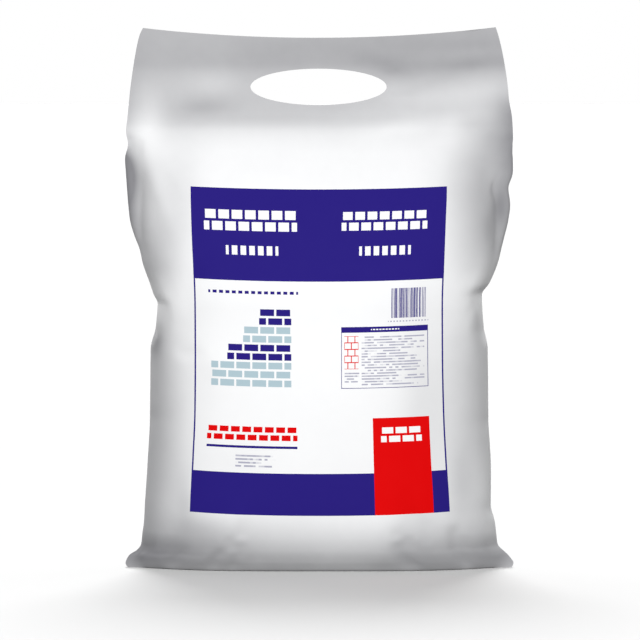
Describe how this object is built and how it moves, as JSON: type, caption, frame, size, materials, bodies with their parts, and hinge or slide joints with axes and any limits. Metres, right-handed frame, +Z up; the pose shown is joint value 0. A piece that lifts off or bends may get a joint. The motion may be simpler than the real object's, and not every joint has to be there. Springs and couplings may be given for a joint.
{
  "type": "cement bag",
  "caption": "Small upright white plastic-film bag filled with cement powder, with a flat bottom, a full belly and a thin top flap with an oval die-cut hand hole.",
  "frame": {"origin": "on the floor, in the middle of the bag's flat bottom", "axes": "+Z up, from the flat bottom to the flap; the printed front faces -Y; +X to the right as seen from the front"},
  "size_m": [0.16, 0.0518, 0.2236],
  "materials": {
    "film": "satin white polyethylene film with a printed front panel in violet-blue and red"
  },
  "bodies": {
    "root": {"bag": "film"}
  },
  "joints": []
}
